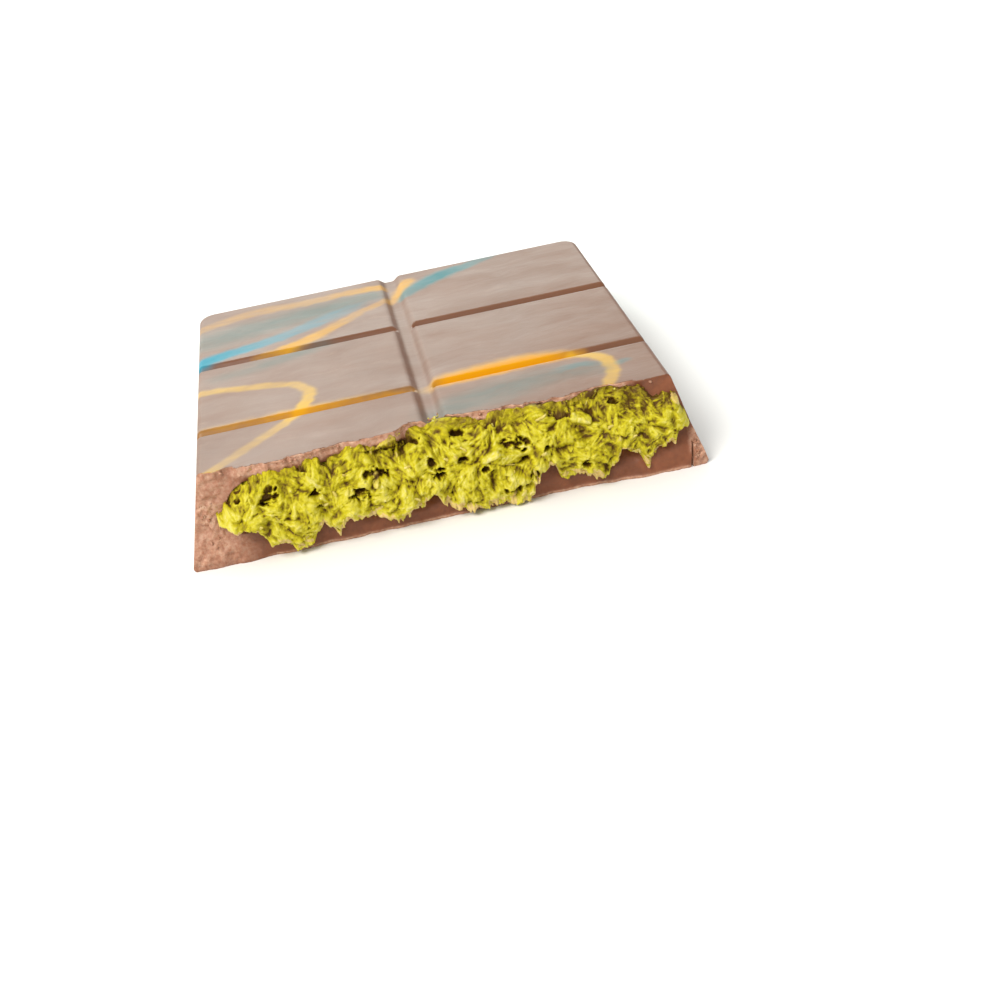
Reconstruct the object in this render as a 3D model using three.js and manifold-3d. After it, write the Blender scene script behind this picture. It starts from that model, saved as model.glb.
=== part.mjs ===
// Broken half of a filled milk chocolate bar, in millimetres, +Z up.
// A moulded shell with square pads on top holds a pistachio and shredded pastry filling,
// which shows along the break at the front. The bar lies on its flat base.
import * as THREE from 'three';
import { mergeVertices } from 'three/addons/utils/BufferGeometryUtils.js';
import Module from 'manifold-3d';

// The moulded bar. Depths run back to front from the top edge of the back wall, where Y is 0.
const barWidth = 80;
const barHeight = 15;
const wallLean = 4.2;
const cornerRadius = 4;
const edgeRadius = 0.8;
const squarePitch = 27;
const rowGroove = { top: 2.5, floor: 1.2, depth: 1.3 };
const centreGroove = { top: 3.5, floor: 2.2, depth: 1.4 };

// Walls of the shell round the filling
const roofThickness = 2.3;
const wallThickness = 3.6;
const baseThickness = 3;
const hollowRadius = 3;
const fillingGap = 0.3;

// The break. Each pair is a place across the bar and how far the top layer reaches there.
const breakLine = [
  [-46, 68.4], [-35, 68.4], [-25, 69.4], [-17, 68.6], [-10, 67.2], [0, 66.4],
  [8, 67.9], [17, 69.0], [26, 68.0], [33, 69.2], [46, 68.4],
];
const baseReach = [[-46, 70.1], [18, 70.1], [31, 71.3], [46, 71.3]];
const grainDepth = 0.55;
const breakGrid = { width: 92, height: 24, below: 3, across: 58, up: 22 };
const breakGap = 0.5;
const frontEnd = -95;

// Crumbled corner of the base, right of a crack
const crack = { x: 37.4, width: 0.5, length: 4.5, height: 3.6 };
const chunk = { x: 39.1, reach: 68.6, z: 1.25, radii: [1.9, 2.9, 1.2] };

// The torn face of the filling: its lower edge across the bar, and how far it bulges
const lowerEdge = [
  [-40, 7.5], [-33, 5.4], [-28, 2.2], [-25, 0.9], [12, 0.9], [15, 4.6], [17, 4.2],
  [19.5, 1.4], [24, 1.4], [27, 3.0], [40, 3.8],
];
const faceLeft = -34.6;
const faceRight = 37.2;
const faceHigh = 14.4;
const faceReach = 70.2;
const faceBulge = 1.6;
const faceGrid = { across: 34, deep: 2, up: 7 };
const faceBack = 65.5;
const innerEnd = 67.5;
const lumpDepth = 1.5;
const shredCount = 84;
const shredColumns = 21;
const shredLength = { min: 5, max: 9 };
const shredWidth = { min: 1.3, max: 2.3 };
const shredThickness = 0.9;
const shredBend = { min: 0.3, max: 1.1 };
const shredLean = 0.5;
const shredTurn = 0.35;
const floorClearance = 0.3;

const wasm = await Module();
wasm.setup();

// Seeded random numbers, the same at each build
let seed = 20260;
function random() {
  seed = (Math.imul(seed, 1664525) + 1013904223) >>> 0;
  return seed / 4294967296;
}

function between(low, high) {
  return low + (high - low) * random();
}

// Smooth repeatable noise in the range -1 to 1
function latticeValue(i, j, k) {
  let h = Math.imul(i, 374761393) ^ Math.imul(j, 668265263) ^ Math.imul(k, 1274126177);
  h = Math.imul(h ^ (h >>> 13), 1103515245);
  return ((h ^ (h >>> 16)) >>> 0) / 2147483648 - 1;
}

function noise(x, y, z) {
  const i = Math.floor(x);
  const j = Math.floor(y);
  const k = Math.floor(z);
  const ease = (t) => t * t * (3 - 2 * t);
  const u = ease(x - i);
  const v = ease(y - j);
  const w = ease(z - k);
  let sum = 0;
  for (const [di, wi] of [[0, 1 - u], [1, u]]) {
    for (const [dj, wj] of [[0, 1 - v], [1, v]]) {
      for (const [dk, wk] of [[0, 1 - w], [1, w]]) {
        sum += latticeValue(i + di, j + dj, k + dk) * wi * wj * wk;
      }
    }
  }
  return sum;
}

// Solids and meshes
function toSolid(geometry) {
  const bare = geometry.clone();
  bare.deleteAttribute('normal');
  bare.deleteAttribute('uv');
  const merged = mergeVertices(bare, 1e-4);
  return new wasm.Manifold(new wasm.Mesh({
    numProp: 3,
    vertProperties: new Float32Array(merged.attributes.position.array),
    triVerts: new Uint32Array(merged.index.array),
  }));
}

function toGeometry(solid) {
  const mesh = solid.getMesh();
  const geometry = new THREE.BufferGeometry();
  geometry.setAttribute('position', new THREE.BufferAttribute(mesh.vertProperties, 3));
  geometry.setIndex(new THREE.BufferAttribute(mesh.triVerts, 1));
  geometry.computeVertexNormals();
  return geometry;
}

// The biggest body alone, without loose scraps or sealed bubbles
function biggest(solid) {
  const bodies = solid.decompose();
  bodies.sort((a, b) => b.volume() - a.volume());
  return bodies[0];
}

function movePoints(geometry, move) {
  const position = geometry.attributes.position;
  const point = new THREE.Vector3();
  for (let i = 0; i < position.count; i += 1) {
    point.fromBufferAttribute(position, i);
    move(point);
    position.setXYZ(i, point.x, point.y, point.z);
  }
  return geometry;
}

// A closed outline with every corner rounded
function roundedOutline(corners, radius) {
  const outline = new THREE.Shape();
  corners.forEach((corner, i) => {
    const here = new THREE.Vector2(...corner);
    const before = new THREE.Vector2(...corners[(i + corners.length - 1) % corners.length]);
    const after = new THREE.Vector2(...corners[(i + 1) % corners.length]);
    const start = here.clone().add(before.sub(here).setLength(radius));
    const end = here.clone().add(after.sub(here).setLength(radius));
    if (i === 0) {
      outline.moveTo(start.x, start.y);
    } else {
      outline.lineTo(start.x, start.y);
    }
    outline.quadraticCurveTo(here.x, here.y, end.x, end.y);
  });
  outline.closePath();
  return outline;
}

// The whole moulded block, longer than the piece, with walls that lean in towards the top
function mouldedBlock() {
  const half = barWidth / 2 - edgeRadius;
  const back = wallLean - edgeRadius;
  const plan = roundedOutline(
    [[-half, frontEnd], [half, frontEnd], [half, back], [-half, back]], cornerRadius);
  const block = new THREE.ExtrudeGeometry(plan, {
    depth: barHeight - 2 * edgeRadius,
    bevelEnabled: true,
    bevelThickness: edgeRadius,
    bevelSize: edgeRadius,
    bevelSegments: 3,
    curveSegments: 5,
  });
  block.translate(0, 0, edgeRadius);
  movePoints(block, (p) => {
    const lean = wallLean * p.z / barHeight;
    p.x *= 1 - lean / (barWidth / 2);
    p.y -= p.y > -squarePitch ? lean : 0;
  });
  return toSolid(block);
}

// The space for the filling, open at the front; a gap above 0 gives the filling's own block
function hollow(gap, end) {
  const leanAt = (z) => wallLean * z / barHeight;
  const low = baseThickness + gap;
  const high = barHeight - roofThickness - gap;
  const halfAt = (z) => barWidth / 2 - wallThickness - gap - leanAt(z);
  const section = roundedOutline([
    [-halfAt(low), low], [halfAt(low), low], [halfAt(high), high], [-halfAt(high), high],
  ], hollowRadius);
  const block = new THREE.ExtrudeGeometry(section, {
    depth: end - wallThickness - gap, bevelEnabled: false, curveSegments: 5,
  });
  block.rotateX(Math.PI / 2);
  block.translate(0, -wallThickness - gap, 0);
  movePoints(block, (p) => {
    p.y += p.y > -squarePitch ? wallLean - leanAt(p.z) : 0;
  });
  return toSolid(block);
}

// A groove of the top, narrower at its floor, cut along X
function grooveCutter(groove, length) {
  const above = 1;
  const slope = (groove.top - groove.floor) / 2 / groove.depth;
  const wide = groove.top / 2 + slope * above;
  const section = new THREE.Shape();
  section.moveTo(-groove.floor / 2, -groove.depth);
  section.lineTo(groove.floor / 2, -groove.depth);
  section.lineTo(wide, above);
  section.lineTo(-wide, above);
  section.closePath();
  const cutter = new THREE.ExtrudeGeometry(section, { depth: length, bevelEnabled: false });
  cutter.translate(0, barHeight, -length / 2);
  cutter.rotateX(Math.PI / 2);
  return cutter;
}

// The value of a list of places and values at one place, eased between them
function valueAt(list, place) {
  for (let i = 1; i < list.length; i += 1) {
    const [x0, y0] = list[i - 1];
    const [x1, y1] = list[i];
    if (place <= x1) {
      return THREE.MathUtils.lerp(y0, y1, THREE.MathUtils.smoothstep(place, x0, x1));
    }
  }
  return list[list.length - 1][1];
}

// How far the break reaches at each place across and up the bar
function breakReach(x, z) {
  const up = THREE.MathUtils.smoothstep(z, baseThickness * 0.6, baseThickness * 2.2);
  const grain = noise(x * 0.8, 3.7, z * 0.9) + 0.5 * noise(x * 1.9, 8.1, z * 2.1);
  return THREE.MathUtils.lerp(valueAt(baseReach, x), valueAt(breakLine, x), up) + grainDepth * grain;
}

// Everything in front of the break, moved forward by a gap
function breakCutter(gap) {
  const { width, height, below, across, up } = breakGrid;
  const block = new THREE.BoxGeometry(width, 2, height, across, 1, up);
  block.translate(0, 0, height / 2 - below);
  movePoints(block, (p) => {
    p.y = p.y > 0 ? -breakReach(p.x, p.z) - gap : frontEnd - 2;
  });
  return toSolid(block);
}

// A lump with an uneven outline
function lump(x, y, z, rx, ry, rz) {
  const ball = new THREE.IcosahedronGeometry(1, 1);
  const shift = between(0, 40);
  movePoints(ball, (p) => {
    const swell = 1 + 0.22 * noise(p.x * 1.7 + shift, p.y * 1.7, p.z * 1.7);
    p.multiplyScalar(swell);
  });
  ball.scale(rx, ry, rz);
  ball.rotateY(between(0, Math.PI));
  ball.translate(x, y, z);
  return toSolid(ball);
}

// A flat bent strip of shredded pastry
function shred(length, width, bend) {
  const strip = new THREE.BoxGeometry(length, shredThickness, width, 2, 1, 1);
  movePoints(strip, (p) => {
    const along = 2 * p.x / length;
    p.y -= bend * along * along;
    p.z *= 1 - 0.35 * along * along;
  });
  return strip;
}

function shellSolid() {
  let shell = mouldedBlock();
  for (let row = 1; row * squarePitch < breakLine[0][1]; row += 1) {
    const cutter = grooveCutter(rowGroove, barWidth * 1.2);
    cutter.rotateZ(Math.PI / 2);
    cutter.translate(0, -row * squarePitch, 0);
    shell = shell.subtract(toSolid(cutter));
  }
  const centreCutter = grooveCutter(centreGroove, 2.2 * -frontEnd);
  shell = shell.subtract(toSolid(centreCutter));
  shell = shell.subtract(hollow(0, -frontEnd + breakGrid.below));
  shell = shell.subtract(breakCutter(0));
  shell = shell.add(lump(chunk.x, -chunk.reach, chunk.z, ...chunk.radii));
  const slot = new THREE.CylinderGeometry(crack.width, crack.width, crack.height, 3);
  slot.rotateX(Math.PI / 2);
  slot.scale(1, crack.length / crack.width, 1);
  slot.translate(crack.x, -breakReach(crack.x, 0), crack.height / 2 - 0.5);
  shell = shell.subtract(toSolid(slot));
  return biggest(shell);
}

// A point on the torn face, from its place across and its level between lower edge and top
function facePoint(x, level) {
  const z = THREE.MathUtils.lerp(valueAt(lowerEdge, x), faceHigh, level);
  const swell = Math.sin(Math.PI * (0.12 + 0.72 * level)) + 0.5 * noise(x * 0.16, 5, z * 0.2);
  return new THREE.Vector3(x, -faceReach - faceBulge * swell, z);
}

// The torn mass in front of the hollow, lumpy and rounded off along its rim
function tornMass() {
  const block = new THREE.BoxGeometry(1, 1, 1, faceGrid.across, faceGrid.deep, faceGrid.up);
  movePoints(block, (p) => {
    const across = p.x + 0.5;
    const level = p.z + 0.5;
    const front = 0.5 - p.y;
    const x = THREE.MathUtils.lerp(faceLeft, faceRight, across);
    const place = facePoint(x, level);
    const rim = Math.min(1, 6 * Math.min(level, 1 - level), 14 * Math.min(across, 1 - across));
    const lumps = noise(x * 0.42, 1.3, place.z * 0.42) + 0.6 * noise(x * 0.9, 6.1, place.z * 0.9);
    const bulge = lumpDepth * (lumps - 1.1 * (1 - rim));
    p.set(x, THREE.MathUtils.lerp(-faceBack, place.y - bulge + 0.5, front), place.z);
  });
  return toSolid(block);
}

function fillingSolid() {
  const parts = [hollow(fillingGap, innerEnd), tornMass()];
  for (let i = 0; i < shredCount; i += 1) {
    const across = ((i % shredColumns) + between(0.1, 0.9)) / shredColumns;
    const level = (Math.floor(i / shredColumns) + between(0.1, 0.9)) / (shredCount / shredColumns);
    const place = facePoint(THREE.MathUtils.lerp(faceLeft + 1, faceRight - 1, across), level);
    const length = between(shredLength.min, shredLength.max);
    const width = between(shredWidth.min, shredWidth.max);
    const strip = shred(length, width, between(shredBend.min, shredBend.max));
    const room = Math.min(place.z - floorClearance, barHeight - place.z) - width / 2;
    const steepest = Math.asin(THREE.MathUtils.clamp(2 * room / length, 0.08, 1));
    strip.rotateX(between(-shredLean, shredLean));
    strip.rotateZ(between(-shredTurn, shredTurn));
    strip.rotateY(between(-steepest, steepest));
    strip.translate(place.x, place.y + between(-0.6, 0.8), place.z);
    strip.computeBoundingBox();
    const sunk = Math.max(0, floorClearance - strip.boundingBox.min.z);
    const proud = Math.max(0, strip.boundingBox.max.z - barHeight);
    strip.translate(0, 0, sunk - proud);
    parts.push(toSolid(strip));
  }
  const room = breakCutter(breakGap).add(hollow(fillingGap, -frontEnd));
  const filling = wasm.Manifold.union(parts).intersect(room);
  return biggest(filling);
}

const chocolate = new THREE.MeshStandardMaterial({ color: 0x7d4a33, roughness: 0.38, metalness: 0 });
const pistachio = new THREE.MeshStandardMaterial({ color: 0xb9b52a, roughness: 0.6, metalness: 0 });

const bar = new THREE.Group();
const shellMesh = new THREE.Mesh(toGeometry(shellSolid()), chocolate);
shellMesh.name = 'chocolate_shell';
bar.add(shellMesh);
const fillingMesh = new THREE.Mesh(toGeometry(fillingSolid()), pistachio);
fillingMesh.name = 'filling';
bar.add(fillingMesh);

// The origin is under the middle of the piece
const extent = new THREE.Box3().setFromObject(bar);
const middle = extent.getCenter(new THREE.Vector3());
bar.position.set(-middle.x, -middle.y, -extent.min.z);

export default bar;
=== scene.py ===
import math
import random

import bmesh
import bpy
import numpy as np
from mathutils import Matrix, Vector, noise


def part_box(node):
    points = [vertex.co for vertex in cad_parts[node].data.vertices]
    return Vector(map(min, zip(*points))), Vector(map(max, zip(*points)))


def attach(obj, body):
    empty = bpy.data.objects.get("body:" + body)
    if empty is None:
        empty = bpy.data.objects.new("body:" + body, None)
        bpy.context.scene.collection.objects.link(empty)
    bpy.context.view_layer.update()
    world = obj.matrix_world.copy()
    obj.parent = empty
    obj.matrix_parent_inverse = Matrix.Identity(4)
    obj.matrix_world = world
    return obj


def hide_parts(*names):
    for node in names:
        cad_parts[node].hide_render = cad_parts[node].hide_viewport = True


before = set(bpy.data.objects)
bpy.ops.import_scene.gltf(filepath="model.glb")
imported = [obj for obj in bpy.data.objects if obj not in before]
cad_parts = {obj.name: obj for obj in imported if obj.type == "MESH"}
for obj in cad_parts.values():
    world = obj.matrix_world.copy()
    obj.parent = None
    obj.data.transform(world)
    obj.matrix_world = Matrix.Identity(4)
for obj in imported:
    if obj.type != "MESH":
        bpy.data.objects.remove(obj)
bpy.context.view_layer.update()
mm = 0.001
shellLow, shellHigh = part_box("chocolate_shell")

# The bar in millimetres. X is from its middle, Y from the top edge of the back wall, Z from its base.
bar = {
    "width": 80.0, "height": (shellHigh.z - shellLow.z) / mm, "lean": 4.2, "corner": 3.0,
    "edge": 0.7, "pitch": 27.0, "rowGroove": (1.14, 0.26, 1.0), "centreGroove": (2.1, 0.6, 0.95),
    "roof": 2.3, "wall": 3.6, "leftWall": 4.7, "base": 3.0, "floorRise": 1.6,
}
barOrigin = Vector((shellLow.x + 0.5 * bar["width"] * mm, shellHigh.y - bar["lean"] * mm, shellLow.z))
toFrame = Matrix.Translation(barOrigin) @ Matrix.Scale(mm, 4)


def valueAt(places, x):
    # a list of (place, value), eased between them
    for (x0, y0), (x1, y1) in zip(places, places[1:]):
        if x <= x1:
            t = max(0.0, (x - x0) / (x1 - x0))
            return y0 + (y1 - y0) * t * t * (3 - 2 * t)
    return places[-1][1]


def ease(low, high, value):
    t = min(1.0, max(0.0, (value - low) / (high - low)))
    return t * t * (3 - 2 * t)


def addPiece(name, mesh, materials):
    for material in materials:
        mesh.materials.append(material)
    mesh.polygons.foreach_set("use_smooth", [True] * len(mesh.polygons))
    piece = bpy.data.objects.new(name, mesh)
    bpy.context.scene.collection.objects.link(piece)
    return piece


def makeObject(name, bm, materials):
    bm.transform(toFrame)
    mesh = bpy.data.meshes.new(name)
    bm.to_mesh(mesh)
    bm.free()
    return addPiece(name, mesh, materials)


def settle(piece):
    # the modifiers become the mesh
    bpy.context.view_layer.update()
    graph = bpy.context.evaluated_depsgraph_get()
    mesh = bpy.data.meshes.new_from_object(
        piece.evaluated_get(graph), preserve_all_data_layers=True, depsgraph=graph)
    old = piece.data
    piece.modifiers.clear()
    piece.data = mesh
    bpy.data.meshes.remove(old)


def pointsOf(mesh, what="co"):
    found = np.empty(len(mesh.vertices) * 3)
    mesh.vertices.foreach_get(what, found)
    return found.reshape(-1, 3)


def setLayer(mesh, name, kind, values):
    fields = {"FLOAT": "value", "FLOAT_VECTOR": "vector", "FLOAT_COLOR": "color"}
    layer = mesh.attributes.new(name, kind, "POINT")
    layer.data.foreach_set(fields[kind], np.asarray(values, np.float32).ravel())


def cutAway(piece, cutter):
    tool = piece.modifiers.new("cut", "BOOLEAN")
    tool.operation = "DIFFERENCE"
    tool.object = cutter
    tool.solver = "EXACT"
    tool.material_mode = "TRANSFER"
    settle(piece)
    bpy.data.objects.remove(cutter)


# in mm
seam = {"merge": 0.002, "sliver": 0.001}


def mendSeams(piece):
    # takes out slivers that the cuts leave
    bm = bmesh.new()
    bm.from_mesh(piece.data)
    bmesh.ops.remove_doubles(bm, verts=bm.verts, dist=seam["merge"] * mm)
    bmesh.ops.dissolve_degenerate(bm, edges=bm.edges, dist=seam["sliver"] * mm)
    bm.to_mesh(piece.data)
    bm.free()


# Camera, floor and lights
view = {
    "place": (-9.82, -266.5, 107.1), "turn": 4.98, "down": 28.31, "roll": -10.23, "lens": 53.07,
}


def makeCamera():
    turn, down, roll = (math.radians(view[k]) for k in ("turn", "down", "roll"))
    ahead = Vector((math.sin(turn) * math.cos(down), math.cos(turn) * math.cos(down), -math.sin(down)))
    side = ahead.cross(Vector((0, 0, 1))).normalized()
    up = side.cross(ahead)
    right = side * math.cos(roll) + up * math.sin(roll)
    above = up * math.cos(roll) - side * math.sin(roll)
    data = bpy.data.cameras.new("camera")
    data.lens = view["lens"]
    data.clip_start = 0.01
    camera = bpy.data.objects.new("camera", data)
    turned = Matrix((right, above, -ahead)).transposed().to_4x4()
    camera.matrix_world = Matrix.Translation(barOrigin + mm * Vector(view["place"])) @ turned
    bpy.context.scene.collection.objects.link(camera)
    bpy.context.scene.camera = camera


studio = {
    "floor": 4.0,
    "floorColour": (0.86, 0.86, 0.85, 1),
    "worldColour": (1.0, 0.985, 0.97, 1),
    "worldStrength": 0.7,
    # name: place, target, width, height, power in watts, colour
    "panels": {
        "sheenPanel": ((-0.16, 0.62, 0.31), (0, 0, 0.01), 0.92, 0.6, 2.75, (0.88, 1.0, 0.93)),
        "highPanel": ((-0.20, 0.60, 0.50), (0, 0, 0.01), 0.6, 0.22, 1.7, (0.92, 1.0, 0.95)),
        "keyPanel": ((-0.42, -0.42, 0.62), (0, -0.02, 0), 0.45, 0.45, 7.0, (1.0, 0.97, 0.93)),
    },
}


def makeStudio():
    bm = bmesh.new()
    bmesh.ops.create_grid(bm, x_segments=1, y_segments=1, size=studio["floor"] / 2)
    mesh = bpy.data.meshes.new("floor")
    bm.to_mesh(mesh)
    bm.free()
    paper = newMaterial("floorPaper", Base_Color=studio["floorColour"], Roughness=0.9)[0]
    floor = addPiece("floor", mesh, [paper])
    world = bpy.data.worlds.new("studio")
    world.use_nodes = True
    glow = world.node_tree.nodes["Background"]
    glow.inputs["Color"].default_value = studio["worldColour"]
    glow.inputs["Strength"].default_value = studio["worldStrength"]
    bpy.context.scene.world = world
    for name, (place, target, width, height, power, colour) in studio["panels"].items():
        data = bpy.data.lights.new(name, "AREA")
        data.shape = "RECTANGLE"
        data.size = width
        data.size_y = height
        data.energy = power
        data.color = colour
        lamp = bpy.data.objects.new(name, data)
        lamp.location = place
        lamp.rotation_euler = (Vector(target) - Vector(place)).to_track_quat("-Z", "Y").to_euler()
        bpy.context.scene.collection.objects.link(lamp)
    settings = bpy.context.scene.view_settings
    settings.view_transform = "Standard"
    settings.look = "None"


# Materials
def newMaterial(name, **values):
    # values: the shader's inputs, with _ for a space
    material = bpy.data.materials.new(name)
    material.use_nodes = True
    tree = material.node_tree
    shader = tree.nodes["Principled BSDF"]
    for key, value in values.items():
        shader.inputs[key.replace("_", " ")].default_value = value
    return material, tree, shader


def addNode(tree, kind, inputs=(), **settings):
    # inputs: {name or index: socket or value}; settings: the node's, or inputs by name with _ for a space
    node = tree.nodes.new(kind)
    for key, value in settings.items():
        if hasattr(node, key):
            setattr(node, key, value)
        else:
            node.inputs[key.replace("_", " ")].default_value = value
    for key, value in dict(inputs).items():
        if isinstance(value, bpy.types.NodeSocket):
            tree.links.new(value, node.inputs[key])
        else:
            node.inputs[key].default_value = value
    return node


def objectPlace(tree, scale=(1, 1, 1), turn=(0, 0, 0)):
    where = addNode(tree, "ShaderNodeTexCoord")
    return addNode(tree, "ShaderNodeMapping", {"Vector": where.outputs["Object"]},
                   Scale=scale, Rotation=turn).outputs["Vector"]


def noiseOf(tree, place, scale, detail=4.0, roughness=0.55):
    return addNode(tree, "ShaderNodeTexNoise", {"Vector": place},
                   Scale=scale, Detail=detail, Roughness=roughness).outputs["Fac"]


def ramp(tree, value, stops):
    node = addNode(tree, "ShaderNodeValToRGB", {"Fac": value})
    marks = node.color_ramp.elements
    while len(marks) < len(stops):
        marks.new(0.5)
    for mark, (place, colour) in zip(marks, stops):
        mark.position = place
        mark.color = colour if len(colour) == 4 else (*colour, 1)
    return node.outputs["Color"]


def mixColour(tree, share, first, second):
    first, second = ((*end, 1) if isinstance(end, tuple) else end for end in (first, second))
    return addNode(tree, "ShaderNodeMix", {0: share, 6: first, 7: second}, data_type="RGBA").outputs[2]


def remap(tree, value, low, high, newLow, newHigh):
    return addNode(tree, "ShaderNodeMapRange", {"Value": value}, From_Min=low, From_Max=high,
                   To_Min=newLow, To_Max=newHigh).outputs["Result"]


def combine(tree, operation, first, second):
    return addNode(tree, "ShaderNodeMath", {0: first, 1: second}, operation=operation).outputs[0]


def addBump(tree, shader, layers):
    # layers: (height socket, strength, distance in metres), from coarse to fine
    normal = None
    for height, strength, distance in layers:
        links = {"Height": height}
        if normal is not None:
            links["Normal"] = normal
        bump = addNode(tree, "ShaderNodeBump", links, Strength=strength, Distance=distance)
        normal = bump.outputs["Normal"]
    tree.links.new(normal, shader.inputs["Normal"])


chocolate = {
    "dark": (0.132, 0.048, 0.018),
    "light": (0.185, 0.072, 0.029),
    "scuff": (0.30, 0.17, 0.115),
    "broken": (0.228, 0.068, 0.022),
    "brokenDark": (0.14, 0.040, 0.013),
    "brokenMid": (0.44, 0.22, 0.135),
    "brokenPale": (0.70, 0.47, 0.33),
}


def makeMouldedChocolate():
    material, tree, shader = newMaterial(
        "mouldedChocolate", IOR=1.5, Subsurface_Weight=0.12, Subsurface_Radius=(1.0, 0.5, 0.3),
        Subsurface_Scale=0.0012)
    place = objectPlace(tree)
    long = objectPlace(tree, scale=(0.38, 1, 1), turn=(0, 0, 0.10))
    sway = addNode(tree, "ShaderNodeTexNoise", {"Vector": place}, Scale=90, Detail=2).outputs["Color"]
    long = addNode(tree, "ShaderNodeMix", {0: 0.006, 4: long, 5: sway}, data_type="VECTOR").outputs[1]
    cloud = noiseOf(tree, place, 70)
    colour = mixColour(tree, cloud, chocolate["dark"], chocolate["light"])
    ripple = noiseOf(tree, long, 420, 5)
    scuffs = ramp(tree, noiseOf(tree, long, 260, 6, 0.7), [(0.58, (0, 0, 0)), (0.72, (1, 1, 1))])
    colour = mixColour(tree, combine(tree, "MULTIPLY", scuffs, 0.2), colour, chocolate["scuff"])
    streak = addNode(tree, "ShaderNodeAttribute", attribute_name="streak")
    worn = remap(tree, noiseOf(tree, long, 480, 5, 0.65), 0.35, 0.65, 0.8, 0.0)
    thin = remap(tree, streak.outputs["Alpha"], 0, 1, 1, 0)
    kept = remap(tree, combine(tree, "MULTIPLY", worn, thin), 0, 1, 1, 0)
    cover = combine(tree, "MULTIPLY", streak.outputs["Alpha"], kept)
    colour = mixColour(tree, cover, colour, streak.outputs["Color"])
    tree.links.new(colour, shader.inputs["Base Color"])
    dull = remap(tree, noiseOf(tree, long, 180, 5), 0.3, 0.7, 0.30, 0.46)
    tree.links.new(dull, shader.inputs["Roughness"])
    tree.links.new(remap(tree, cover, 0, 1, 0.5, 0.07), shader.inputs["Specular IOR Level"])
    broad = noiseOf(tree, place, 75, 2)
    fine = noiseOf(tree, place, 2600, 3)
    addBump(tree, shader, [(broad, 0.10, 0.004), (ripple, 0.15, 0.0005), (fine, 0.06, 0.00012)])
    return material


def makeBrokenChocolate():
    material, tree, shader = newMaterial(
        "brokenChocolate", Roughness=0.55, Subsurface_Weight=0.1, Subsurface_Radius=(1.0, 0.5, 0.3),
        Subsurface_Scale=0.0012)
    place = objectPlace(tree)
    crumbledAndLit = addNode(tree, "ShaderNodeAttribute", attribute_name="crumbledAndLit").outputs["Fac"]
    grain = noiseOf(tree, place, 1500, 6, 0.7)
    broad = noiseOf(tree, place, 260, 4, 0.6)
    smooth = ramp(tree, broad, [(0.3, chocolate["brokenDark"]), (0.7, chocolate["broken"])])
    rough = ramp(tree, grain, [(0.22, chocolate["broken"]), (0.48, chocolate["brokenMid"]),
                               (0.78, chocolate["brokenPale"])])
    # paler where it broke into crumbs, and with painted light at the left end and along the lower edge
    colour = mixColour(tree, crumbledAndLit, smooth, rough)
    tree.links.new(colour, shader.inputs["Base Color"])
    high = combine(tree, "MULTIPLY", noiseOf(tree, place, 1300, 6, 0.65), crumbledAndLit)
    addBump(tree, shader, [(high, 0.6, 0.0004), (grain, 0.3, 0.00012)])
    return material


# the filling's colours, from the painted shade of pits and creases to the painted highlight of ridges
pistachio = {
    "pitShade": (0.085, 0.038, 0.002),
    "deep": (0.29, 0.225, 0.005),
    "mid": (0.50, 0.435, 0.006),
    "high": (0.585, 0.52, 0.072),
    "pale": (0.68, 0.60, 0.25),
    "pastry": (0.64, 0.44, 0.20),
}


def makePistachio():
    material, tree, shader = newMaterial(
        "pistachioFilling", Specular_IOR_Level=0.22, Subsurface_Weight=0.25,
        Subsurface_Radius=(1.0, 0.9, 0.15), Subsurface_Scale=0.0007)
    place = objectPlace(tree)
    toneAndShading = addNode(tree, "ShaderNodeAttribute", attribute_name="toneAndShading").outputs["Fac"]
    fibre = addNode(tree, "ShaderNodeAttribute", attribute_name="fibre").outputs["Vector"]
    stretched = addNode(tree, "ShaderNodeMapping", {"Vector": fibre}, Scale=(0.8, 3.4, 30))
    lines = noiseOf(tree, stretched.outputs["Vector"], 1, 4, 0.65)
    patch = noiseOf(tree, place, 330, 5, 0.6)
    shade = combine(tree, "ADD", toneAndShading, remap(tree, patch, 0.25, 0.75, -0.10, 0.10))
    shade = combine(tree, "ADD", shade, remap(tree, lines, 0.3, 0.7, -0.13, 0.13))
    # painted shade and highlight, with each shred's own tone
    colour = ramp(tree, shade, [
        (0.02, pistachio["pitShade"]), (0.25, pistachio["deep"]), (0.50, pistachio["mid"]),
        (0.78, pistachio["high"]), (1.0, pistachio["pale"])])
    tone = addNode(tree, "ShaderNodeSeparateXYZ", {"Vector": fibre}).outputs["Z"]
    colour = mixColour(tree, remap(tree, tone, 0.86, 0.98, 0.0, 0.7), colour, pistachio["pastry"])
    tree.links.new(colour, shader.inputs["Base Color"])
    tree.links.new(remap(tree, patch, 0.3, 0.7, 0.5, 0.7), shader.inputs["Roughness"])
    grain = noiseOf(tree, place, 2400, 4, 0.6)
    addBump(tree, shader, [(lines, 0.4, 0.00022), (grain, 0.35, 0.00012)])
    return material


pastry = {
    "shade": (0.36, 0.25, 0.03),
    "mid": (0.58, 0.46, 0.08),
    "pale": (0.72, 0.60, 0.22),
}


def makePastry():
    material, tree, shader = newMaterial(
        "toastedPastry", Roughness=0.55, Subsurface_Weight=0.25, Subsurface_Radius=(1.0, 0.8, 0.3),
        Subsurface_Scale=0.0006)
    place = objectPlace(tree)
    colour = ramp(tree, noiseOf(tree, place, 700, 5, 0.6), [
        (0.3, pastry["shade"]), (0.5, pastry["mid"]), (0.72, pastry["pale"])])
    tree.links.new(colour, shader.inputs["Base Color"])
    addBump(tree, shader, [(noiseOf(tree, place, 1800, 4), 0.5, 0.0002)])
    return material


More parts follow.
